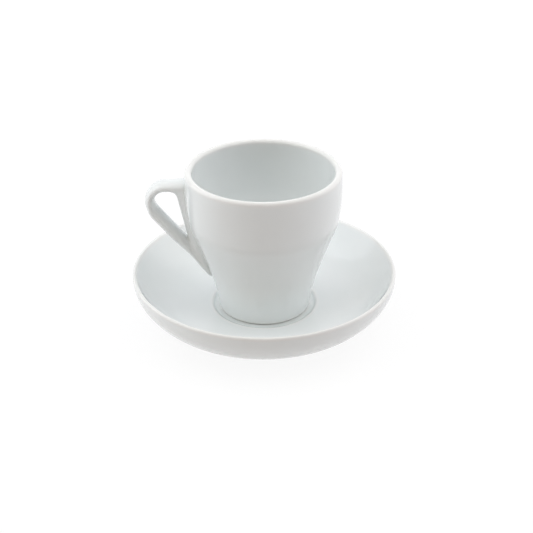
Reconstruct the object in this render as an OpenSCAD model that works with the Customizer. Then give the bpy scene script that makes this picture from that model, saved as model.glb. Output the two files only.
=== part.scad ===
// Cappuccino cup with saucer: thick white bar porcelain in three pieces.
// The cup body is turned, the looped strap handle is cast and luted to its wall,
// and the deep saucer has a shallow seat for the foot of the cup.
// Millimetres, +Z up, origin on the saucer's axis in the plane it stands on, handle towards -X.

/* [Saucer] */
// Outside diameter of the saucer
saucer_d = 145; // [130:1:170]
// Height of the saucer from its foot to the top of its lip
saucer_h = 29; // [25:0.5:36]
// Thickness of the saucer's lip
saucer_lip_t = 2.2; // [1.6:0.1:3.4]
// Height below the top of the lip over which the outside stays upright
saucer_band_h = 2.5; // [2:0.1:5]
// How full the outside of the bowl is below the lip
saucer_belly = 9; // [6:0.5:12]
// Length over which the underside runs in flat to the foot
saucer_run_in = 15.8; // [10:0.1:20]
// Outward lean of the inside just under the lip, in degrees
saucer_lean = 30; // [22:1:38]
// Length over which the inside keeps its lean below the lip
saucer_wall_run = 16; // [10:0.5:20]
// Length over which the floor runs out flat from the seat
saucer_floor_run = 25; // [15:0.5:30]
// Thickness of the floor under the cup's seat
saucer_floor_t = 4.4; // [3.5:0.1:6]
// Outside diameter of the saucer's foot ring
saucer_foot_d = 86; // [76:1:94]
// Width of the foot ring's flat
saucer_foot_w = 3.6; // [2.5:0.1:6]
// Height of the foot ring below the underside of the bowl
saucer_foot_h = 3.2; // [2:0.1:4]
// Depth of the hollow inside the saucer's foot ring
saucer_hollow_h = 2.3; // [1.5:0.1:3.5]

/* [Seat for the cup] */
// Gap all round between the cup's base and the flat of the seat
seat_gap = 2.4; // [0.8:0.1:3]
// Depth of the seat below the saucer's floor
seat_depth = 0.9; // [0.6:0.1:1.8]
// Width of the sloped edge of the seat
seat_edge_w = 1.3; // [0.8:0.1:4]

/* [Cup] */
// Height of the cup from its foot to the top of its lip
cup_h = 81.7; // [76:0.1:92]
// Outside diameter of the cup just above its foot
base_d = 51; // [44:0.5:56]
// Outside diameter where the flank ends
flank_d = 79.1; // [72:0.1:81]
// Height where the flank ends
flank_h = 49.8; // [44:0.1:53]
// Outside diameter where the upright upper wall begins
upper_d = 82.9; // [81:0.1:86]
// Height where the upright upper wall begins
upper_h = 59.9; // [56:0.1:64]
// Outside diameter under the lip
rim_d = 83.6; // [80:0.1:88]
// Outward lean of the wall just above the foot, in degrees
base_lean = 5.4; // [2:0.1:10]
// Outward lean of the wall at the end of the flank, in degrees
flank_lean = 20.3; // [14:0.1:24]
// Outward lean of the upper wall where it begins, in degrees
upper_lean = 6.6; // [2:0.1:9]
// Inward lean of the wall under the lip, in degrees
rim_lean = 4.7; // [0:0.1:8]
// Thickness of the wall and of the rounded lip
cup_wall = 3.9; // [2.8:0.1:4.6]
// Thickness of the cup's floor above its foot
cup_floor_t = 6; // [4.5:0.1:8]
// Radius inside the cup between floor and wall
cup_inside_r = 10; // [5:0.5:14]
// Rounding between the wall and the foot
base_round = 1.7; // [1:0.1:2.5]
// Width of the cup's foot ring
cup_foot_w = 4; // [2.5:0.1:6]
// Depth of the hollow inside the cup's foot ring
cup_foot_h = 1.6; // [1:0.1:2.5]

/* [Handle] */
// Distance from the top of the cup down to the centre of the finger hole's round end
grip_drop = 17.9; // [16:0.1:24]
// Radius of the finger hole's round end
finger_r = 6; // [5:0.1:8]
// How far the top corner of the hole is squared out beside the wall
hole_corner = 0.9; // [0.3:0.1:2]
// Distance from the hole's round end down to its tip
hole_l = 20.9; // [16:0.1:24]
// Radius of the hole's tip
tip_r = 0.7; // [0.5:0.1:1.2]
// Thickness of the handle between the hole's tip and the wall
tip_gap = 5.3; // [3.5:0.1:7]
// Thickness of the strap over the finger hole
strap_t = 5.3; // [3.5:0.1:7]
// Width of the strap
strap_w = 12; // [8:0.1:14]
// Squareness of the strap's section, 2 for an ellipse
strap_square = 2; // [2:0.1:4]
// Rise of the strap's top from its bend to the cup
strap_rise = 0.6; // [0.1:0.1:1.5]
// Radius of the strap's root in the wall
root_r = 4.6; // [3:0.1:6]
// Thickness of the leg that lies on the cup's wall
wall_leg_t = 4.4; // [3:0.1:6]
// Distance below the bend's centre of the fuller turn into the slanting leg
leg_drop = 3; // [2.2:0.1:4]
// Radius that the fuller turn gains over the bend
leg_gain = 0.5; // [0:0.1:1.6]
// Distance from the hole's round end down to the end of the tail
tail_l = 45.6; // [38:0.1:48]
// Radius of the tail's end
tail_r = 1.4; // [1:0.1:2.5]
// How far the outside of the slanting leg sags in towards the wall above the tail
tail_sag = 1.2; // [0:0.1:2]
// Height above the tail over which it sags in
sag_l = 23; // [16:0.5:28]
// How far the leg on the wall stands out to each side past the slanting leg
leg_spread = 0.4; // [0:0.1:0.9]
// Width of the step where the two legs run together
crease_w = 0.9; // [0.5:0.1:2]
// Length over which that step fades out below the hole
crease_l = 9; // [5:0.5:14]

/* [Hidden] */
$fn = 144;
glaze = "#eef1f0";

// Steps along a curve, round an arc, across the strap and along the strap's straight runs
curve_steps = 14;
arc_steps = 8;
strap_sides = 24;
run_steps = 10;

// Points of a cubic curve between two ends, with the two points that pull it
function bezier(p, steps) = [for (i = [0 : steps]) let (t = i / steps, u = 1 - t)
    u * u * u * p[0] + 3 * u * u * t * p[1] + 3 * u * t * t * p[2] + t * t * t * p[3]];

// Points of an arc, from one angle to another
function arc(c, r, a0, a1, steps = arc_steps) =
    [for (i = [0 : steps]) let (a = a0 + (a1 - a0) * i / steps) c + r * [cos(a), sin(a)]];

// Cubic between two heights with given radii and slopes
function cubic(h, h0, r0, s0, h1, r1, s1) = let (l = h1 - h0, t = (h - h0) / l, t2 = t * t, t3 = t2 * t)
    r0 * (1 - 3 * t2 + 2 * t3) + l * s0 * (t - 2 * t2 + t3)
    + r1 * (3 * t2 - 2 * t3) + l * s1 * (t3 - t2);

// Heights of the seat, measured from the plane that the saucer stands on
seat_z = saucer_hollow_h + saucer_floor_t;
seat_edge_z = seat_z + seat_depth;
seat_r = base_d / 2 + seat_gap;

// The wall of the cup begins above the rounding of its base and ends below the round of its lip
wall_h0 = base_round;
wall_h1 = cup_h - cup_wall / 2;

// Outside radius of the cup at a height above its foot
function cup_r(h) =
    h < flank_h ? cubic(h, wall_h0, base_d / 2, tan(base_lean), flank_h, flank_d / 2, tan(flank_lean)) :
    h < upper_h ? cubic(h, flank_h, flank_d / 2, tan(flank_lean), upper_h, upper_d / 2, tan(upper_lean)) :
    cubic(h, upper_h, upper_d / 2, tan(upper_lean), wall_h1, rim_d / 2, -tan(rim_lean));

// Outside of the wall, from the base to the lip
wall_heights = concat(
    [for (i = [0 : curve_steps - 1]) wall_h0 + (flank_h - wall_h0) * i / curve_steps],
    [for (i = [0 : arc_steps - 1]) flank_h + (upper_h - flank_h) * i / arc_steps],
    [for (i = [0 : arc_steps]) upper_h + (wall_h1 - upper_h) * i / arc_steps]);
wall_outside = [for (h = wall_heights) [cup_r(h), h]];

// Base of the wall, rounded in to the flat of the foot
foot_r = base_d / 2 - base_round;
base_corner = arc([foot_r, base_round], base_round, -90, 0);

// Inside of the cup: a round corner between the floor and the leaning wall, then the wall's own curve
corner_h = cup_floor_t + cup_inside_r;
lean_span = 0.2;
corner_lean = atan((cup_r(corner_h + lean_span / 2) - cup_r(corner_h - lean_span / 2)) / lean_span);
meet_h = corner_h - cup_inside_r * sin(corner_lean);
corner_r = cup_r(meet_h) - cup_wall - cup_inside_r * cos(corner_lean);
inside_corner = arc([corner_r, corner_h], cup_inside_r, -corner_lean, -90, curve_steps);
wall_inside = [for (i = [len(wall_heights) - 1 : -1 : 0]) let (h = wall_heights[i])
    if (h > meet_h + cup_wall / 2) [cup_r(h) - cup_wall, h]];
cup_lip = arc([rim_d / 2 - cup_wall / 2, wall_h1], cup_wall / 2, 0, 180);

// Hollow inside the foot ring, with sloped sides
hollow_r = foot_r - cup_foot_w;
cup_outside = concat(base_corner, [for (i = [1 : len(wall_outside) - 1]) wall_outside[i]]);
cup_outline = concat(
    [[0, cup_foot_h], [hollow_r - cup_foot_h, cup_foot_h], [hollow_r, 0]], cup_outside,
    [for (i = [1 : arc_steps - 1]) cup_lip[i]], wall_inside, inside_corner, [[0, cup_floor_t]]);

// Solid round form of the cup, used to fit the handle to the wall
cup_blank = concat([[0, 0]], cup_outside, [[0, wall_h1]]);

// Saucer: seat, inside, lip, outside, foot ring and the hollow inside it
saucer_r = saucer_d / 2;
saucer_foot_r = saucer_foot_d / 2;
lip_r = saucer_lip_t / 2;
band_z = saucer_h - saucer_band_h;
seat_edge_r = seat_r + seat_edge_w;
saucer_lip = arc([saucer_r - lip_r, saucer_h - lip_r], lip_r, 180 - saucer_lean, 0);
saucer_inside = bezier([[seat_edge_r, seat_edge_z], [seat_edge_r + saucer_floor_run, seat_edge_z],
    saucer_lip[0] - saucer_wall_run * [sin(saucer_lean), cos(saucer_lean)], saucer_lip[0]], curve_steps);
underside_r = saucer_foot_r + saucer_foot_h / 2;
saucer_outside = bezier([[saucer_r, band_z], [saucer_r, band_z - saucer_belly],
    [underside_r + saucer_run_in, saucer_foot_h], [underside_r, saucer_foot_h]], curve_steps);
saucer_hollow_r = saucer_foot_r - saucer_foot_w;
saucer_foot = [[saucer_foot_r, 0], [saucer_hollow_r, 0],
    [saucer_hollow_r - saucer_hollow_h, saucer_hollow_h], [0, saucer_hollow_h]];
saucer_outline = concat([[0, seat_z], [seat_r, seat_z]], saucer_inside,
    [for (i = [1 : arc_steps]) saucer_lip[i]], saucer_outside, saucer_foot);

// Closed outline round a list of [centre, radius] circles, taken anticlockwise:
// an arc on each circle and a straight run along each tangent
function tangent_angle(a, b) = let (d = b[0] - a[0])
    atan2(d[1], d[0]) - 90 + asin((a[1] - b[1]) / norm(d));
function after(a, least) = a < least ? after(a + 360, least) : a;
function outline(circles) = let (n = len(circles))
    [for (k = [0 : n - 1]) let (
            here = circles[k], next = circles[(k + 1) % n],
            a0 = tangent_angle(circles[(k + n - 1) % n], here),
            a1 = after(tangent_angle(here, next), a0),
            turn = arc(here[0], here[1], a0, a1),
            start = turn[arc_steps], end = next[0] + next[1] * [cos(a1), sin(a1)])
        each concat(turn, [for (j = [1 : run_steps - 1]) start + (end - start) * j / run_steps])];

// Point where the ray from a centre towards a point leaves a closed outline round that centre
function ray_exit(c, p, loop) = let (d = p - c, n = len(loop))
    [for (i = [0 : n - 1]) let (a = loop[i] - c, b = loop[(i + 1) % n] - c)
        if (cross(d, a) <= 0 && cross(d, b) > 0) c + d * cross(a, b - a) / cross(d, b - a)][0];

// The handle stands in the plane through the cup's axis, where a point is [distance from the axis, height]
grip_h = cup_h - grip_drop;
tip_h = grip_h - hole_l;
tail_h = grip_h - tail_l;
grip = [cup_r(grip_h) + wall_leg_t + finger_r, grip_h];
tip = [cup_r(tip_h) + tip_gap, tip_h];
to_tip = (tip - grip) / norm(tip - grip);
hole_outline = outline([
    [grip, finger_r],
    [grip + hole_corner * [-1, 1], finger_r - hole_corner],
    [tip, tip_r]]);
bend_r = finger_r + strap_t;
strap_hull = outline([
    [grip, bend_r],
    [[cup_r(grip_h), grip_h + bend_r + strap_rise - root_r], root_r],
    [[cup_r(tail_h), tail_h], tail_r],
    [grip + leg_drop * to_tip, bend_r + leg_gain]]);
function swell(t) = let (u = max(0, min(1, t))) pow(4 * u * (1 - u), 2);
strap_outline = [for (q = strap_hull) q - [tail_sag * swell((q[1] - tail_h) / sag_l), 0]];

// Half the strap's width at a point: more on the leg that lies on the wall,
// with a step that fades out at both ends of that leg
function smooth_step(t) = let (u = max(0, min(1, t))) u * u * (3 - 2 * u);
function half_width(q) = let (gap = q[0] - cup_r(q[1]), h = q[1])
    strap_w / 2 + leg_spread * smooth_step((tip_gap - gap) / crease_w)
    * lookup(h, [[tip_h - crease_l, 0], [tip_h, 1], [grip_h, 1], [grip_h + finger_r, 0]]);

// Section of the strap between a point of the hole and a point of the outside
function sgn_pow(v, p) = sign(v) * pow(abs(v), p);
function strap_section(a, b) = let (m = (a + b) / 2, d = (b - a) / 2)
    [for (j = [0 : strap_sides - 1]) let (
            v = 360 * j / strap_sides,
            q = m + d * sgn_pow(cos(v), 2 / strap_square))
        [-q[0], half_width(q) * sgn_pow(sin(v), 2 / strap_square), q[1]]];

// Solid through a closed ring of sections
module ring_loft(sections) {
    n = len(sections);
    m = len(sections[0]);
    polyhedron([for (s = sections) each s],
        [for (i = [0 : n - 1], j = [0 : m - 1]) let (
                a = i * m + j, b = i * m + (j + 1) % m,
                c = ((i + 1) % n) * m + (j + 1) % m, d = ((i + 1) % n) * m + j)
            each [[a, b, c], [a, c, d]]], convexity = 6);
}

module saucer() {
    color(glaze) rotate_extrude() polygon(saucer_outline);
}

module cup_body() {
    color(glaze) translate([0, 0, seat_z]) rotate_extrude() polygon(cup_outline);
}

module handle() {
    color(glaze) translate([0, 0, seat_z]) difference() {
        ring_loft([for (p = strap_outline) strap_section(ray_exit(grip, p, hole_outline), p)]);
        rotate_extrude() polygon(cup_blank);
    }
}

saucer();
cup_body();
handle();
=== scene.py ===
"""A cappuccino cup with its saucer, in glazed hard porcelain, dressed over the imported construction.

Run as a script, it loads the construction as a fixed frame, makes the three glazed pieces in its place and
sets them on a pale studio floor. Lengths are in metres, and heights on the cup are counted from its foot.
"""

import math

import bmesh
import bpy
import numpy as np
from bpy.props import FloatProperty, FloatVectorProperty, IntProperty, PointerProperty
from mathutils import Matrix, Vector


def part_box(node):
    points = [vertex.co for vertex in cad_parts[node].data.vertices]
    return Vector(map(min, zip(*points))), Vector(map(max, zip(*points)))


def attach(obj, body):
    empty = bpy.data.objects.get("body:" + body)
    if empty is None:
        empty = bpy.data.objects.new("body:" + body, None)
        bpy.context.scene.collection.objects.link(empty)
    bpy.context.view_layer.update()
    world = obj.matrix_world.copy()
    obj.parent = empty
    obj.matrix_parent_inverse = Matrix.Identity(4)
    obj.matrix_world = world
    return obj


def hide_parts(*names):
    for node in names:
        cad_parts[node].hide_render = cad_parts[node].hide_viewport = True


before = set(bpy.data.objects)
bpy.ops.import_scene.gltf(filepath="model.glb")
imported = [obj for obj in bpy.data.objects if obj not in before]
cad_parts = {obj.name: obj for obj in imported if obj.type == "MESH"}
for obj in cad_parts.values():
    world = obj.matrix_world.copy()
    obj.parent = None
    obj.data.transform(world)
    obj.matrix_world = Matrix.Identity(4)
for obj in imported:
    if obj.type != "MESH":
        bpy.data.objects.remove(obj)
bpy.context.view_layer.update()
saucer_low, saucer_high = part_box("saucer")
cup_low, cup_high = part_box("cup_body")

bl_info = {
    "name": "Cappuccino cup with saucer",
    "version": (1, 0, 0),
    "blender": (4, 5, 0),
    "location": "3D View > Sidebar > Cup",
    "description": "Makes a porcelain cappuccino cup with its saucer, and a studio to see it in",
    "category": "Add Mesh",
}

# Spacing of the points along an outline while it is being shaped
FINE_STEP = 0.0001

# Points of a turned piece that lie closer than this are one point
WELD = 0.000005

# Radius of the wheel's circle, which an outline is moved in by so that it turns about the axis itself
WHEEL_RADIUS = 0.001

# Sections round the loop of the handle, and points round each section
LOOP_SECTIONS = 420
SECTION_POINTS = 140

# Width of the camera's film in millimetres
FILM_WIDTH = 36.0


def linear(hex_colour):
    """The linear colour of an sRGB hex value such as #eef1f0."""
    parts = [int(hex_colour[i : i + 2], 16) / 255 for i in (1, 3, 5)]
    return tuple(c / 12.92 if c <= 0.04045 else ((c + 0.055) / 1.055) ** 2.4 for c in parts)


def length(name, description, default):
    """A property that holds a length."""
    return FloatProperty(name=name, description=description, default=default, unit="LENGTH", precision=5)


def angle(name, description, degrees):
    """A property that holds an angle."""
    return FloatProperty(name=name, description=description, default=math.radians(degrees), subtype="ANGLE")


def number(name, description, default, **settings):
    """A property that holds a plain number."""
    return FloatProperty(name=name, description=description, default=default, **settings)


def colour(name, description, hex_colour):
    """A property that holds a colour."""
    default = linear(hex_colour)
    return FloatVectorProperty(name=name, description=description, default=default, subtype="COLOR")


class SaucerSizes(bpy.types.PropertyGroup):
    """Sizes of the saucer and of the seat in it."""

    diameter: length("Diameter", "Outside diameter of the saucer", saucer_high.x - saucer_low.x)
    height: length("Height", "From the foot to the top of the lip", saucer_high.z)
    lip: length("Lip", "Thickness of the lip", 0.0022)
    band: length("Band", "Height below the top of the lip over which the outside stays upright", 0.0025)
    belly: length("Belly", "How full the outside is below the lip", 0.009)
    run_in: length("Run in", "Length over which the underside runs in flat to the foot", 0.0158)
    wall_lean: angle("Wall lean", "Outward lean of the inside under the lip", 30.0)
    wall_run: length("Wall run", "Length over which the inside keeps its lean below the lip", 0.016)
    floor_run: length("Floor run", "Length over which the floor runs out flat from the seat", 0.025)
    foot_diameter: length("Foot diameter", "Outside diameter of the foot ring", 0.086)
    foot_width: length("Foot width", "Width of the foot ring's flat", 0.0036)
    foot_height: length("Foot height", "Height of the foot ring below the underside", 0.0032)
    foot_hollow: length("Foot hollow", "Depth of the hollow inside the foot ring", 0.0023)
    seat_gap: length("Seat gap", "Gap between the cup's base and the edge of the seat's flat", 0.0024)
    seat_depth: length("Seat depth", "Depth of the seat below the floor", 0.0009)
    seat_edge: length("Seat edge", "Width of the sloped edge of the seat", 0.0013)


class CupSizes(bpy.types.PropertyGroup):
    """Sizes of the turned body of the cup."""

    height: length("Height", "From the foot to the top of the lip", cup_high.z - cup_low.z)
    base_diameter: length("Base diameter", "Outside diameter just above the foot", 0.051)
    flank_diameter: length("Flank diameter", "Outside diameter where the flank ends", 0.0791)
    flank_height: length("Flank height", "Height where the flank ends", 0.0498)
    upper_diameter: length("Upper diameter", "Outside diameter where the upper wall begins", 0.0829)
    upper_height: length("Upper height", "Height where the upper wall begins", 0.0599)
    rim_diameter: length("Rim diameter", "Outside diameter under the lip", 0.0836)
    base_lean: angle("Base lean", "Outward lean of the wall above the foot", 5.4)
    flank_lean: angle("Flank lean", "Outward lean of the wall where the flank ends", 20.3)
    upper_lean: angle("Upper lean", "Outward lean of the upper wall where it begins", 6.6)
    rim_lean: angle("Rim lean", "Inward lean of the wall under the lip", 4.7)
    wall: length("Wall", "Thickness of the wall and of the rounded lip", 0.0039)
    floor: length("Floor", "Thickness of the floor above the foot", 0.006)
    inside_radius: length("Inside radius", "Radius inside between the floor and the wall", 0.01)
    base_round: length("Base round", "Rounding between the wall and the foot", 0.0017)
    foot_width: length("Foot width", "Width of the foot ring", 0.004)
    foot_hollow: length("Foot hollow", "Depth of the hollow inside the foot ring", 0.0016)


class HandleSizes(bpy.types.PropertyGroup):
    """Sizes of the looped strap handle and of its joint with the wall."""

    grip_drop: length("Grip drop", "From the cup's top down to the middle of the hole's round end", 0.0179)
    finger_radius: length("Finger radius", "Radius of the finger hole's round end", 0.006)
    hole_corner: length("Hole corner", "How far the hole's top corner is squared out by the wall", 0.0009)
    hole_length: length("Hole length", "From the hole's round end down to its tip", 0.0209)
    tip_radius: length("Tip radius", "Radius of the hole's tip", 0.0007)
    tip_gap: length("Tip gap", "Thickness between the hole's tip and the wall", 0.0053)
    strap: length("Strap", "Thickness of the strap over the finger hole", 0.0053)
    width: length("Width", "Width of the strap", 0.012)
    square: number("Squareness", "Squareness of the strap's section, 2 for an ellipse", 2.0)
    rise: length("Rise", "Rise of the strap's top from its bend to the cup", 0.0006)
    root_radius: length("Root radius", "Radius of the strap's root in the wall", 0.0046)
    wall_leg: length("Wall leg", "Thickness of the leg that lies on the wall", 0.0044)
    leg_drop: length("Leg drop", "Distance below the bend of the fuller turn into the slanting leg", 0.003)
    leg_gain: length("Leg gain", "Radius that the fuller turn gains over the bend", 0.0005)
    tail_length: length("Tail length", "From the hole's round end down to the end of the tail", 0.0456)
    tail_radius: length("Tail radius", "Radius of the tail's end", 0.0014)
    sag: length("Sag", "How far the slanting leg sags in towards the wall above the tail", 0.0012)
    sag_length: length("Sag length", "Height above the tail over which it sags in", 0.023)
    spread: length("Spread", "How far the leg on the wall stands out past the slanting leg", 0.0004)
    crease_width: length("Crease width", "Width of the step where the two legs run together", 0.0009)
    crease_length: length("Crease length", "Length over which that step fades out below the hole", 0.009)
    fillet: length("Fillet", "Reach of the soft fillet between the strap and the wall", 0.0005)
    tail_fillet: length("Tail fillet", "Reach of the fillet at the end of the tail", 0.0005)


class GlazeFinish(bpy.types.PropertyGroup):
    """Colours and surface of the glazed porcelain."""

    body: colour("Body", "Glaze of usual thickness over the white body", "#ecefee")
    # Pooled: darker, cooler glaze in hollow corners, partly glaze that has gathered there and partly
    # painted shade in the creases
    pooled_and_shaded: colour("Pooled", "Thick glaze that has run into a corner", "#dfe7e5")
    thin: colour("Thin", "Thin glaze drawn off an edge", "#f0f0ed")
    bare: colour("Bare", "Unglazed porcelain of the foot rings", "#e3ddd2")
    roughness: number("Roughness", "Roughness of the fired glaze", 0.06, subtype="FACTOR", min=0, max=1)
    index: number("Index", "Refractive index of the glaze", 1.7)
    round_over: length("Round over", "Length over which the glaze rounds an edge", 0.0003)
    segments: IntProperty(name="Segments", description="Faces round the axis", default=240, min=32)


class StudioSet(bpy.types.PropertyGroup):
    """Lens and place of the camera."""

    lens: number("Lens", "Focal length of the camera in millimetres", 74.3, unit="CAMERA")
    eye: FloatVectorProperty(
        name="Eye",
        description="Place of the camera",
        default=(0.0013, -0.5297, 0.3305),
        subtype="XYZ",
        unit="LENGTH",
    )
    pitch: angle("Pitch", "How far the camera looks down", 29.64)
    roll: angle("Roll", "Turn of the camera about its line of sight", -0.38)


def add(tree, kind, values=None, links=None, **settings):
    """Adds a node to a tree, with its settings, the values of its inputs and the links into them."""
    node = tree.nodes.new(kind)
    for key, value in settings.items():
        setattr(node, key, value)
    for key, value in (values or {}).items():
        node.inputs[key].default_value = value
    for key, source in (links or {}).items():
        tree.links.new(source, node.inputs[key])
    return node


def bezier(points, steps=60):
    """Points of a cubic curve between two ends, with the two points that pull it."""
    p = np.array(points)
    t = np.linspace(0, 1, steps + 1)[:, None]
    u = 1 - t
    return u**3 * p[0] + 3 * u**2 * t * p[1] + 3 * u * t**2 * p[2] + t**3 * p[3]


def arc(centre, radius, start, end, steps=40):
    """Points of an arc from one angle to another, in radians."""
    a = np.linspace(start, end, steps + 1)
    return np.array(centre) + radius * np.column_stack([np.cos(a), np.sin(a)])


def cup_radius(cup, height):
    """Outside radius of the cup at heights above its foot: three cubics that share their slopes."""
    knots = [
        (cup.base_round, cup.base_diameter / 2, math.tan(cup.base_lean)),
        (cup.flank_height, cup.flank_diameter / 2, math.tan(cup.flank_lean)),
        (cup.upper_height, cup.upper_diameter / 2, math.tan(cup.upper_lean)),
        (cup.height - cup.wall / 2, cup.rim_diameter / 2, -math.tan(cup.rim_lean)),
    ]
    radius = np.full(np.shape(height), cup.base_diameter / 2)
    for (h0, r0, s0), (h1, r1, s1) in zip(knots, knots[1:]):
        run = h1 - h0
        t = (height - h0) / run
        curve = r0 * (1 - 3 * t**2 + 2 * t**3) + run * s0 * (t - 2 * t**2 + t**3)
        curve = curve + r1 * (3 * t**2 - 2 * t**3) + run * s1 * (t**3 - t**2)
        radius = np.where(height >= h0, curve, radius)
    return radius


def cup_lean(cup, height):
    """Outward lean of the cup's wall at a height above its foot."""
    span = 0.0002
    rise = cup_radius(cup, height + span / 2) - cup_radius(cup, height - span / 2)
    return math.atan(float(rise) / span)


def cup_outline(cup, wall_points=200):
    """Outline of the cup from the axis over its floor, up the inside, over the lip and down to the foot."""
    lip_height = cup.height - cup.wall / 2
    corner_height = cup.floor + cup.inside_radius
    corner_lean = cup_lean(cup, corner_height)
    meet_height = corner_height - cup.inside_radius * math.sin(corner_lean)
    meet_r = float(cup_radius(cup, meet_height)) - cup.wall
    corner_r = meet_r - cup.inside_radius * math.cos(corner_lean)
    corner = arc((corner_r, corner_height), cup.inside_radius, -math.pi / 2, -corner_lean)
    heights = np.linspace(lip_height, cup.base_round, wall_points)
    outside = np.column_stack([cup_radius(cup, heights), heights])
    inside = (outside - (cup.wall, 0))[heights > meet_height][::-1]
    lip = arc((cup.rim_diameter / 2 - cup.wall / 2, lip_height), cup.wall / 2, math.pi, 0)
    foot_r = cup.base_diameter / 2 - cup.base_round
    base = arc((foot_r, cup.base_round), cup.base_round, 0, -math.pi / 2)
    hollow_r = foot_r - cup.foot_width
    hollow = [(hollow_r, 0), (hollow_r - cup.foot_hollow, cup.foot_hollow), (0, cup.foot_hollow)]
    return np.concatenate([[(0, cup.floor)], corner, inside, lip, outside, base, hollow])


def saucer_outline(saucer, cup, seat_z):
    """Outline of the saucer from the axis over its seat and inside, over the lip and down to the foot."""
    radius = saucer.diameter / 2
    lip_r = saucer.lip / 2
    lip_z = saucer.height - lip_r
    band_z = saucer.height - saucer.band
    seat_r = cup.base_diameter / 2 + saucer.seat_gap
    edge_r = seat_r + saucer.seat_edge
    edge_z = seat_z + saucer.seat_depth
    lip = arc((radius - lip_r, lip_z), lip_r, math.pi - saucer.wall_lean, 0)
    up_wall = saucer.wall_run * np.array([math.sin(saucer.wall_lean), math.cos(saucer.wall_lean)])
    inside = bezier([(edge_r, edge_z), (edge_r + saucer.floor_run, edge_z), lip[0] - up_wall, lip[0]])
    foot_r = saucer.foot_diameter / 2
    under_r = foot_r + saucer.foot_height / 2
    outside = bezier(
        [
            (radius, band_z),
            (radius, band_z - saucer.belly),
            (under_r + saucer.run_in, saucer.foot_height),
            (under_r, saucer.foot_height),
        ]
    )
    hollow_r = foot_r - saucer.foot_width
    foot = [
        (foot_r, 0),
        (hollow_r, 0),
        (hollow_r - saucer.foot_hollow, saucer.foot_hollow),
        (0, saucer.foot_hollow),
    ]
    return np.concatenate([[(0, seat_z), (seat_r, seat_z)], inside, lip, outside, foot])


def glazed_over(outline, spread, cut_off=4):
    """The outline with every corner rounded, as a coat of glaze does, in even fine steps.

    Each point becomes a weighted mean of its neighbours, and the weights end at cut_off times their spread.
    """
    run = np.concatenate([[0], np.cumsum(np.hypot(*np.diff(outline, axis=0).T))])
    at = np.linspace(0, run[-1], round(run[-1] / FINE_STEP) + 1)
    even = np.column_stack([np.interp(at, run, outline[:, i]) for i in (0, 1)])
    reach = round(cut_off * spread / FINE_STEP)
    # Past both ends the outline goes on as its own mirror image across the axis
    across_axis = (-1, 1)
    before = even[reach:0:-1] * across_axis
    beyond = even[-2 : -reach - 2 : -1] * across_axis
    padded = np.concatenate([before, even, beyond])
    weight = np.exp(-0.5 * (np.arange(-reach, reach + 1) * FINE_STEP / spread) ** 2)
    return np.column_stack([np.convolve(padded[:, i], weight / weight.sum(), "valid") for i in (0, 1)])


def pooling_and_crease_shade(outline, window=0.001):
    """How far the glaze gathers along an outline: above 0 in a hollow corner, below 0 over an edge. Above 0
    it also drives painted shade in the hollows.
    """
    steps = round(window / FINE_STEP)
    heading = np.unwrap(np.arctan2(*np.gradient(outline, axis=0).T[::-1]))
    padded = np.pad(heading, steps, mode="edge")
    return (padded[2 * steps :] - padded[: -2 * steps]) / (math.pi / 2)


def thinned(outline, turn=math.radians(4), reach=0.0015):
    """Indices of the points to keep: one at each turn of the outline, and one at least every reach."""
    heading = np.unwrap(np.arctan2(*np.gradient(outline, axis=0).T[::-1]))
    most = round(reach / FINE_STEP)
    kept = [0]
    for i in range(1, len(outline) - 1):
        if abs(heading[i] - heading[kept[-1]]) >= turn or i - kept[-1] >= most:
            kept.append(i)
    return kept + [len(outline) - 1]


def lathe_tree():
    """Geometry nodes that turn an outline about the axis, as a potter's wheel does."""
    tree = bpy.data.node_groups.new("Turned on the wheel", "GeometryNodeTree")
    sockets = {}
    for name, in_out, kind in (
        ("Outline", "INPUT", "NodeSocketGeometry"),
        ("Segments", "INPUT", "NodeSocketInt"),
        ("Wheel radius", "INPUT", "NodeSocketFloat"),
        ("Glaze", "INPUT", "NodeSocketMaterial"),
        ("Piece", "OUTPUT", "NodeSocketGeometry"),
    ):
        sockets[name] = tree.interface.new_socket(name, in_out=in_out, socket_type=kind).identifier
    given = add(tree, "NodeGroupInput").outputs
    outline = add(tree, "GeometryNodeMeshToCurve", links={"Mesh": given["Outline"]})
    wheel = add(
        tree,
        "GeometryNodeCurvePrimitiveCircle",
        links={"Resolution": given["Segments"], "Radius": given["Wheel radius"]},
    )
    turned = add(
        tree,
        "GeometryNodeCurveToMesh",
        links={"Curve": wheel.outputs["Curve"], "Profile Curve": outline.outputs["Curve"]},
    )
    closed = add(
        tree,
        "GeometryNodeMergeByDistance",
        values={"Distance": WELD},
        links={"Geometry": turned.outputs["Mesh"]},
    )
    smooth = add(tree, "GeometryNodeSetShadeSmooth", links={"Geometry": closed.outputs["Geometry"]})
    real = add(tree, "GeometryNodeRealizeInstances", links={"Geometry": smooth.outputs["Geometry"]})
    coated = add(
        tree,
        "GeometryNodeSetMaterial",
        links={"Geometry": real.outputs["Geometry"], "Material": given["Glaze"]},
    )
    add(tree, "NodeGroupOutput", links={"Piece": coated.outputs["Geometry"]})
    return tree, sockets


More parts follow.
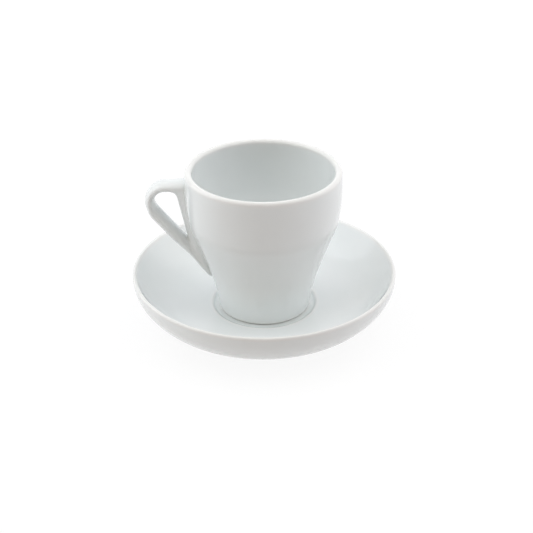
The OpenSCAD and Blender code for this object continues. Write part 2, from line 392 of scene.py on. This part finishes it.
def turned_piece(name, outline, finish, material, lift):
    """A piece turned on the wheel from its outline, as a plain mesh, raised to its place."""
    coated = glazed_over(outline, finish.round_over)
    # Glaze gathered in hollow corners, whose darker tone there is also painted shade
    pool_and_crease_shade = pooling_and_crease_shade(coated)
    kept = thinned(coated)
    mesh = bpy.data.meshes.new(name)
    # The wheel's circle takes an outline's x as the way out from it and its y as the way down
    points = [(r - WHEEL_RADIUS, -z - lift, 0) for r, z in coated[kept]]
    mesh.from_pydata(points, [(i, i + 1) for i in range(len(points) - 1)], [])
    mesh.attributes.new("pool_and_crease_shade", "FLOAT", "POINT").data.foreach_set("value", pool_and_crease_shade[kept].astype(np.float32))
    piece = bpy.data.objects.new(name, mesh)
    bpy.context.scene.collection.objects.link(piece)
    tree, sockets = lathe_tree()
    wheel = piece.modifiers.new("Wheel", "NODES")
    wheel.node_group = tree
    wheel[sockets["Segments"]] = finish.segments
    wheel[sockets["Wheel radius"]] = WHEEL_RADIUS
    wheel[sockets["Glaze"]] = material
    depsgraph = bpy.context.evaluated_depsgraph_get()
    made = bpy.data.meshes.new_from_object(piece.evaluated_get(depsgraph), depsgraph=depsgraph)
    piece.modifiers.clear()
    piece.data = made
    face_outwards(made)
    return piece


def face_outwards(mesh):
    """Turns every face of a closed mesh outwards."""
    shell = bmesh.new()
    shell.from_mesh(mesh)
    bmesh.ops.recalc_face_normals(shell, faces=shell.faces)
    shell.to_mesh(mesh)
    shell.free()


def tangent_angle(a, b):
    """Angle at which the outer tangent from one [centre, radius] circle to the next leaves them."""
    d = np.subtract(b[0], a[0])
    return math.atan2(d[1], d[0]) - math.pi / 2 + math.asin((a[1] - b[1]) / math.hypot(*d))


def hull_outline(circles, steps=120):
    """Closed outline round a list of [centre, radius] circles, taken anticlockwise."""
    parts = []
    for k, (centre, radius) in enumerate(circles):
        following = circles[(k + 1) % len(circles)]
        start = tangent_angle(circles[k - 1], circles[k])
        end = tangent_angle(circles[k], following)
        end += 2 * math.pi * math.ceil((start - end) / (2 * math.pi))
        turn = arc(centre, radius, start, end, steps)
        onward = np.add(following[0], following[1] * np.array([math.cos(end), math.sin(end)]))
        parts.append(turn)
        parts.append(turn[-1] + np.linspace(0, 1, steps + 1)[1:-1, None] * (onward - turn[-1]))
    return np.concatenate(parts)


class HandleForm:
    """The looped strap as a solid, told by how far a point lies from its surface.

    A point is given by its distance out from the cup's axis, its height above the cup's foot and its offset
    to the side. A bearing is an angle round the grip, the centre of the finger hole's round end.
    """

    def __init__(self, cup, sizes):
        self.cup = cup
        self.sizes = sizes
        grip_h = cup.height - sizes.grip_drop
        tip_h = grip_h - sizes.hole_length
        tail_h = grip_h - sizes.tail_length
        wall_r = float(cup_radius(cup, grip_h))
        self.tip_h = tip_h
        self.tail_h = tail_h
        self.grip = np.array([wall_r + sizes.wall_leg + sizes.finger_radius, grip_h])
        tip = np.array([float(cup_radius(cup, tip_h)) + sizes.tip_gap, tip_h])
        self.to_tip = (tip - self.grip) / np.hypot(*(tip - self.grip))
        corner = sizes.hole_corner * np.array([-1, 1])
        bend_r = sizes.finger_radius + sizes.strap
        root_h = grip_h + bend_r + sizes.rise - sizes.root_radius
        self.hole = hull_outline(
            [
                (self.grip, sizes.finger_radius),
                (self.grip + corner, sizes.finger_radius - sizes.hole_corner),
                (tip, sizes.tip_radius),
            ]
        )
        self.outside = hull_outline(
            [
                (self.grip, bend_r),
                (np.array([wall_r, root_h]), sizes.root_radius),
                (np.array([float(cup_radius(cup, tail_h)), tail_h]), sizes.tail_radius),
                (self.grip + sizes.leg_drop * self.to_tip, bend_r + sizes.leg_gain),
            ]
        )
        part = np.clip((self.outside[:, 1] - tail_h) / sizes.sag_length, 0, 1)
        self.outside[:, 0] -= sizes.sag * (4 * part * (1 - part)) ** 2

    def reach(self, outline, bearing):
        """Distance from the grip to an outline at a bearing."""
        out = outline - self.grip
        return np.interp(bearing, np.arctan2(out[:, 1], out[:, 0]), np.hypot(*out.T), period=2 * math.pi)

    def half_width(self, out, height, side):
        """Half the strap's width, with a step out to the leg on the wall that fades at both its ends."""
        sizes = self.sizes
        depth = (sizes.tip_gap - self.wall_distance(out, height, side)) / sizes.crease_width
        step = np.clip(depth, 0, 1)
        step = step**2 * (3 - 2 * step)
        grip_h = self.grip[1]
        ends = [self.tip_h - sizes.crease_length, self.tip_h, grip_h, grip_h + sizes.finger_radius]
        return sizes.width / 2 + sizes.spread * step * np.interp(height, ends, [0, 1, 1, 0])

    def strap_distance(self, out, height, side):
        """Distance of points from the strap's surface, below 0 inside it."""
        least_level = 1e-6
        rel_out = out - self.grip[0]
        rel_up = height - self.grip[1]
        bearing = np.arctan2(rel_up, rel_out)
        inner = self.reach(self.hole, bearing)
        half = (self.reach(self.outside, bearing) - inner) / 2
        width = self.half_width(out, height, side)
        power = self.sizes.square
        along = np.abs(np.hypot(rel_out, rel_up) - inner - half) / half
        across = np.abs(side) / width
        level = np.maximum((along**power + across**power) ** (1 / power), least_level)
        slope = np.hypot((along / level) ** (power - 1) / half, (across / level) ** (power - 1) / width)
        return (level - 1) / slope

    def wall_distance(self, out, height, side):
        """Distance of points from the cup's wall, below 0 inside it."""
        return np.hypot(out, side) - cup_radius(self.cup, height)

    def distance(self, out, height, side):
        """Distance of points from the luted handle: the strap with its fillet, bedded in the wall."""
        bed = 0.0003
        skin = 0.00001
        strap = self.strap_distance(out, height, side)
        wall = self.wall_distance(out, height, side)
        fillet = np.interp(height, [self.tail_h, self.tip_h], [self.sizes.tail_fillet, self.sizes.fillet])
        overlap = np.clip(fillet - np.abs(strap - wall), 0, None)
        joined = np.minimum(strap, wall) - overlap**2 / (4 * fillet)
        return np.maximum.reduce([joined + skin, -wall - bed, strap - fillet])

    def sections(self, count, sides):
        """Points of the handle in closed sections round the loop, found on rays from their middles."""
        fine_bearings = 4000
        halvings = 40
        bearing = np.linspace(-math.pi, math.pi, fine_bearings + 1)[:-1]
        bearing = self.even_bearings(bearing, count)[:, None]
        inner = self.reach(self.hole, bearing)
        outer = self.visible_reach(bearing)
        middle = (inner + outer) / 2
        half = (outer - inner) / 2
        width = self.sizes.width / 2
        turn = np.linspace(0, 2 * math.pi, sides, endpoint=False)[None, :]
        ray = np.hypot(half * np.cos(turn), width * np.sin(turn))
        ray_out = half * np.cos(turn) / ray
        ray_side = width * np.sin(turn) / ray
        near = np.zeros(np.broadcast_shapes(bearing.shape, turn.shape))
        far = near + half + self.sizes.width
        for _ in range(halvings):
            reach = (near + far) / 2
            inside = self.distance(*self.place(bearing, middle + reach * ray_out, reach * ray_side)) < 0
            near = np.where(inside, reach, near)
            far = np.where(inside, far, reach)
        return self.place(bearing, middle + near * ray_out, near * ray_side)

    def place(self, bearing, reach, side):
        """Out, height and side of points at a reach from the grip along a bearing."""
        return self.grip[0] + reach * np.cos(bearing), self.grip[1] + reach * np.sin(bearing), side

    def visible_reach(self, bearing, samples=400):
        """Distance from the grip to the handle's outside, or to the cup's wall where that comes first."""
        inner = self.reach(self.hole, bearing)
        outer = self.reach(self.outside, bearing)
        part = np.linspace(0, 1, samples)
        along = inner[..., None] + (outer - inner)[..., None] * part
        out, height, _ = self.place(bearing[..., None], along, 0)
        free = np.cumprod(self.wall_distance(out, height, 0) > 0, axis=-1)
        return np.max(np.where(free, along, inner[..., None]), axis=-1)

    def even_bearings(self, bearing, count):
        """Bearings at even steps along the handle's visible outline."""
        out, height, _ = self.place(bearing, self.visible_reach(bearing), 0)
        run = np.concatenate([[0], np.cumsum(np.hypot(np.diff(out), np.diff(height)))])
        return np.interp(np.linspace(0, run[-1], count, endpoint=False), run, bearing)


def handle_mesh(name, cup, sizes, lift):
    """The handle's mesh, closed round the loop, on the side of the cup towards -X."""
    form = HandleForm(cup, sizes)
    count = LOOP_SECTIONS
    sides = SECTION_POINTS
    out, height, side = form.sections(count, sides)
    points = np.stack([-out, side, height + lift], axis=-1).reshape(-1, 3)
    i, j = np.meshgrid(np.arange(count), np.arange(sides), indexing="ij")
    after_i = (i + 1) % count
    after_j = (j + 1) % sides
    faces = np.stack(
        [i * sides + j, i * sides + after_j, after_i * sides + after_j, after_i * sides + j], axis=-1
    ).reshape(-1, 4)
    mesh = bpy.data.meshes.new(name)
    mesh.from_pydata(points.tolist(), [], faces.tolist())
    # A little glaze gathers in the fillet against the wall, and its darker tone there is also painted shade
    # in the crease
    fillet_pool_and_shade = 0.3
    wall = form.wall_distance(out, height, side)
    pool_and_crease_shade = np.clip(1 - wall / sizes.fillet, 0, 1) * fillet_pool_and_shade
    mesh.attributes.new("pool_and_crease_shade", "FLOAT", "POINT").data.foreach_set("value", pool_and_crease_shade.ravel().astype(np.float32))
    mesh.shade_smooth()
    face_outwards(mesh)
    return mesh


def glazed_porcelain(name, finish, foot_z=None):
    """Hard porcelain under a clear gloss glaze.

    The glaze is dipped and fired. It gives a clear reflection that ripples a little, a cool, darker tone
    where it has gathered in hollow corners, which is also painted shade there, and a warmer white where it
    is drawn thin.
    A foot ring, whose height is foot_z, is wiped bare and matte.
    """
    material = bpy.data.materials.new(name)
    material.use_nodes = True
    tree = material.node_tree
    tree.nodes.clear()
    place = add(tree, "ShaderNodeTexCoord").outputs["Object"]
    pool_and_crease_shade = add(tree, "ShaderNodeAttribute", attribute_name="pool_and_crease_shade").outputs["Fac"]

    # Colour: thin, usual and gathered glaze, the gathered tone darker in hollows as painted shade too, with
    # a slow drift of 25 mm in how thick the glaze lies
    drift_size = 0.025
    drift_share = 0.3
    pool_and_shade_span = 0.6
    drift = add(
        tree,
        "ShaderNodeTexNoise",
        values={"Scale": 1 / drift_size, "Detail": 2.0},
        links={"Vector": place},
    ).outputs["Fac"]
    thickness_and_shade = add(
        tree,
        "ShaderNodeMath",
        operation="MULTIPLY_ADD",
        values={1: drift_share, 2: -drift_share / 2},
        links={0: drift},
    ).outputs[0]
    # Gathered glaze darkens hollow corners: partly real pooling, partly painted shade
    thickness_and_shade = add(tree, "ShaderNodeMath", operation="ADD", links={0: thickness_and_shade, 1: pool_and_crease_shade}).outputs[0]
    tone = add(
        tree,
        "ShaderNodeMapRange",
        values={"From Min": -pool_and_shade_span, "From Max": pool_and_shade_span},
        links={"Value": thickness_and_shade},
    ).outputs["Result"]
    ramp = add(tree, "ShaderNodeValToRGB", links={"Fac": tone})
    ramp.color_ramp.elements.new(0.5)
    for stop, shade in zip(ramp.color_ramp.elements, (finish.thin, finish.body, finish.pooled_and_shaded)):
        stop.color = (*shade, 1)
    tint = ramp.outputs["Color"]

    # Surface: ripples of 4 mm in the glaze, and a roughness that wanders over 1.5 mm
    ripple_size = 0.004
    ripple_depth = 0.000006
    wander_size = 0.0015
    smoothest = finish.roughness * 0.6
    roughest = finish.roughness * 1.4
    ripple = add(
        tree,
        "ShaderNodeTexNoise",
        values={"Scale": 1 / ripple_size, "Detail": 1.0},
        links={"Vector": place},
    ).outputs["Fac"]
    relief = add(
        tree,
        "ShaderNodeBump",
        values={"Strength": 1.0, "Distance": ripple_depth},
        links={"Height": ripple},
    ).outputs["Normal"]
    wander = add(
        tree,
        "ShaderNodeTexNoise",
        values={"Scale": 1 / wander_size, "Detail": 2.0},
        links={"Vector": place},
    ).outputs["Fac"]
    rough = add(
        tree,
        "ShaderNodeMapRange",
        values={"To Min": smoothest, "To Max": roughest},
        links={"Value": wander},
    ).outputs["Result"]

    if foot_z is not None:
        # The bare foot: matte, a little sandy in grains of 0.4 mm, with a glaze line just above it
        grain_size = 0.0004
        grain_depth = 0.00003
        bare_top = foot_z + 0.0002
        glaze_line = foot_z + 0.00035
        bare_roughness = 0.75
        height = add(tree, "ShaderNodeSeparateXYZ", links={"Vector": place}).outputs["Z"]
        bare = add(
            tree,
            "ShaderNodeMapRange",
            values={"From Min": bare_top, "From Max": glaze_line, "To Min": 1.0, "To Max": 0.0},
            links={"Value": height},
        ).outputs["Result"]
        tint = add(
            tree,
            "ShaderNodeMix",
            data_type="RGBA",
            values={7: (*finish.bare, 1)},
            links={0: bare, 6: tint},
        ).outputs[2]
        rough = add(
            tree, "ShaderNodeMix", values={3: bare_roughness}, links={0: bare, 2: rough}
        ).outputs[0]
        grain = add(
            tree,
            "ShaderNodeTexNoise",
            values={"Scale": 1 / grain_size, "Detail": 3.0},
            links={"Vector": place},
        ).outputs["Fac"]
        grain = add(tree, "ShaderNodeMath", operation="MULTIPLY", links={0: grain, 1: bare}).outputs[0]
        relief = add(
            tree,
            "ShaderNodeBump",
            values={"Strength": 1.0, "Distance": grain_depth},
            links={"Height": grain, "Normal": relief},
        ).outputs["Normal"]

    glaze = add(
        tree,
        "ShaderNodeBsdfPrincipled",
        values={"IOR": finish.index},
        links={"Base Color": tint, "Roughness": rough, "Normal": relief},
    )
    add(tree, "ShaderNodeOutputMaterial", links={"Surface": glaze.outputs["BSDF"]})
    return material


def fit_piece(piece, node, body):
    """Puts a finished piece in the place of its CAD node."""
    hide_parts(node)
    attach(piece, body)


class MakeSaucer(bpy.types.Operator):
    """Make the deep saucer with its seat for the cup"""

    bl_idname = "cup_set.saucer"
    bl_label = "Saucer"

    def execute(self, context):
        scene = context.scene
        outline = saucer_outline(scene.saucer_sizes, scene.cup_sizes, cup_low.z)
        glaze = glazed_porcelain("Glazed porcelain of the saucer", scene.glaze_finish, 0.0)
        piece = turned_piece("saucer_glazed", outline, scene.glaze_finish, glaze, 0.0)
        fit_piece(piece, "saucer", "saucer")
        return {"FINISHED"}


class MakeCup(bpy.types.Operator):
    """Make the turned body of the cup"""

    bl_idname = "cup_set.cup"
    bl_label = "Cup"

    def execute(self, context):
        scene = context.scene
        outline = cup_outline(scene.cup_sizes)
        glaze = glazed_porcelain("Glazed porcelain of the cup", scene.glaze_finish, cup_low.z)
        piece = turned_piece("cup_body_glazed", outline, scene.glaze_finish, glaze, cup_low.z)
        fit_piece(piece, "cup_body", "cup")
        return {"FINISHED"}


class MakeHandle(bpy.types.Operator):
    """Make the looped strap handle, luted to the wall of the cup"""

    bl_idname = "cup_set.handle"
    bl_label = "Handle"

    def execute(self, context):
        scene = context.scene
        mesh = handle_mesh("handle_glazed", scene.cup_sizes, scene.handle_sizes, cup_low.z)
        mesh.materials.append(glazed_porcelain("Glazed porcelain of the handle", scene.glaze_finish))
        piece = bpy.data.objects.new("handle_glazed", mesh)
        scene.collection.objects.link(piece)
        fit_piece(piece, "handle", "cup")
        return {"FINISHED"}


# Lamps that face the set: bearing from the front and elevation in degrees, distance, width and height in
# metres, watts, colour, and whether the glaze mirrors it. Only the two panels, which stand just in front of
# the side softboxes, are mirrored.
LAMPS = {
    "Left softbox": (-98, 28, 0.9, 1.4, 1.2, 5.2, "#f6faff", False),
    "Right softbox": (98, 28, 0.9, 1.4, 1.2, 5.9, "#fcfcff", False),
    "Left panel": (-98, 28, 0.85, 0.7, 1.2, 2.0, "#f6faff", True),
    "Right panel": (98, 28, 0.85, 1.0, 1.2, 1.2, "#fcfcff", True),
    "Overhead softbox": (180, 89, 0.9, 1.0, 1.0, 5.4, "#fffdfc", False),
    "Back softbox": (180, 25, 0.9, 0.8, 0.5, 1.4, "#dce8ff", False),
    "Front fill": (-45, 25, 0.9, 0.6, 0.5, 0.5, "#fff2d6", False),
    "Low front fill": (0, 8, 0.9, 0.9, 0.2, 0.3, "#ffb080", False),
}


class MakeStage(bpy.types.Operator):
    """Make the pale floor, the white room, the lamps and the camera"""

    bl_idname = "cup_set.stage"
    bl_label = "Studio"

    def execute(self, context):
        scene = context.scene
        scene.view_settings.view_transform = "Standard"
        self.floor(scene)
        self.room(scene)
        for name, settings in LAMPS.items():
            self.lamp(scene, name, *settings)
        self.camera(scene, scene.studio_set)
        return {"FINISHED"}

    def floor(self, scene):
        """White paper, seen as white with a faint shadow, which scatters light as pale paper does."""
        half = 3.0
        paper_grey = (0.8, 0.8, 0.8, 1)
        faint_grey = (0.1, 0.1, 0.1, 1)
        glow_near = 0.91
        glow_far = 1.0
        near = 0.2
        far = 0.7
        corners = [(-half, -half, 0), (half, -half, 0), (half, half, 0), (-half, half, 0)]
        mesh = bpy.data.meshes.new("studio_floor")
        mesh.from_pydata(corners, [], [(0, 1, 2, 3)])
        material = bpy.data.materials.new("White paper floor")
        material.use_nodes = True
        tree = material.node_tree
        tree.nodes.clear()
        seen = self.seen_directly(tree)
        paper = add(tree, "ShaderNodeBsdfDiffuse", values={"Color": paper_grey})
        faint = add(tree, "ShaderNodeBsdfDiffuse", values={"Color": faint_grey})
        place = add(tree, "ShaderNodeTexCoord").outputs["Object"]
        away = add(tree, "ShaderNodeVectorMath", operation="LENGTH", links={0: place}).outputs["Value"]
        level = add(
            tree,
            "ShaderNodeMapRange",
            values={"From Min": near, "From Max": far, "To Min": glow_near, "To Max": glow_far},
            links={"Value": away},
        ).outputs["Result"]
        glow = add(tree, "ShaderNodeEmission", links={"Strength": level})
        bright = add(tree, "ShaderNodeAddShader", links={0: faint.outputs[0], 1: glow.outputs[0]})
        mix = add(tree, "ShaderNodeMixShader", links={0: seen, 1: paper.outputs[0], 2: bright.outputs[0]})
        add(tree, "ShaderNodeOutputMaterial", links={"Surface": mix.outputs[0]})
        mesh.materials.append(material)
        floor = bpy.data.objects.new("studio_floor", mesh)
        scene.collection.objects.link(floor)

    def seen_directly(self, tree):
        """1 for rays from the camera, from a reflection or through glass, and 0 for scattered light."""
        path = add(tree, "ShaderNodeLightPath").outputs
        either = add(
            tree,
            "ShaderNodeMath",
            operation="MAXIMUM",
            links={0: path["Is Camera Ray"], 1: path["Is Glossy Ray"]},
        ).outputs[0]
        return add(
            tree, "ShaderNodeMath", operation="MAXIMUM", links={0: either, 1: path["Is Transmission Ray"]}
        ).outputs[0]

    def room(self, scene):
        """A room that is white where it is seen, and leaves the light on the object to the lamps."""
        world = bpy.data.worlds.new("Studio room")
        world.use_nodes = True
        scene.world = world
        tree = world.node_tree
        tree.nodes.clear()
        white = add(
            tree,
            "ShaderNodeBackground",
            values={"Color": (1, 1, 1, 1)},
            links={"Strength": self.seen_directly(tree)},
        )
        add(tree, "ShaderNodeOutputWorld", links={"Surface": white.outputs[0]})

    def lamp(self, scene, name, bearing, elevation, distance, width, height, watts, hex_colour, mirrored):
        """A flat lamp at a distance from the set, turned to face it."""
        b = math.radians(bearing)
        e = math.radians(elevation)
        lamp = bpy.data.lights.new(name, "AREA")
        lamp.shape = "RECTANGLE"
        lamp.size = width
        lamp.size_y = height
        lamp.energy = watts
        lamp.color = linear(hex_colour)
        box = bpy.data.objects.new(name, lamp)
        away = Vector((math.sin(b) * math.cos(e), -math.cos(b) * math.cos(e), math.sin(e)))
        box.visible_glossy = mirrored
        box.location = away * distance
        box.rotation_euler = away.to_track_quat("Z", "Y").to_euler()
        scene.collection.objects.link(box)

    def camera(self, scene, studio):
        """The camera at its place, tilted down to the set."""
        camera = bpy.data.objects.new("Camera", bpy.data.cameras.new("Camera"))
        camera.data.sensor_width = FILM_WIDTH
        camera.data.lens = studio.lens
        tilt = Matrix.Rotation(math.pi / 2 - studio.pitch, 4, "X")
        camera.matrix_world = Matrix.Translation(studio.eye) @ tilt @ Matrix.Rotation(studio.roll, 4, "Z")
        scene.collection.objects.link(camera)
        scene.camera = camera


class CupPanel(bpy.types.Panel):
    """Operators, sizes and finish of the cup and saucer"""

    bl_idname = "VIEW3D_PT_cup_set"
    bl_label = "Cappuccino cup"
    bl_space_type = "VIEW_3D"
    bl_region_type = "UI"
    bl_category = "Cup"

    def draw(self, context):
        for operator in OPERATORS:
            self.layout.operator(operator.bl_idname)
        for name, group in SETTINGS.items():
            box = self.layout.box()
            box.label(text=name.replace("_", " ").capitalize())
            for size in group.__annotations__:
                box.prop(getattr(context.scene, name), size)


SETTINGS = {
    "saucer_sizes": SaucerSizes,
    "cup_sizes": CupSizes,
    "handle_sizes": HandleSizes,
    "glaze_finish": GlazeFinish,
    "studio_set": StudioSet,
}
OPERATORS = (MakeSaucer, MakeCup, MakeHandle, MakeStage)


def register():
    for name, group in SETTINGS.items():
        bpy.utils.register_class(group)
        setattr(bpy.types.Scene, name, PointerProperty(type=group))
    for made in (*OPERATORS, CupPanel):
        bpy.utils.register_class(made)


def unregister():
    for made in (*OPERATORS, CupPanel):
        bpy.utils.unregister_class(made)
    for name, group in SETTINGS.items():
        delattr(bpy.types.Scene, name)
        bpy.utils.unregister_class(group)


def main():
    register()
    bpy.ops.cup_set.stage()
    bpy.ops.cup_set.saucer()
    bpy.ops.cup_set.cup()
    bpy.ops.cup_set.handle()


if __name__ == "__main__":
    main()
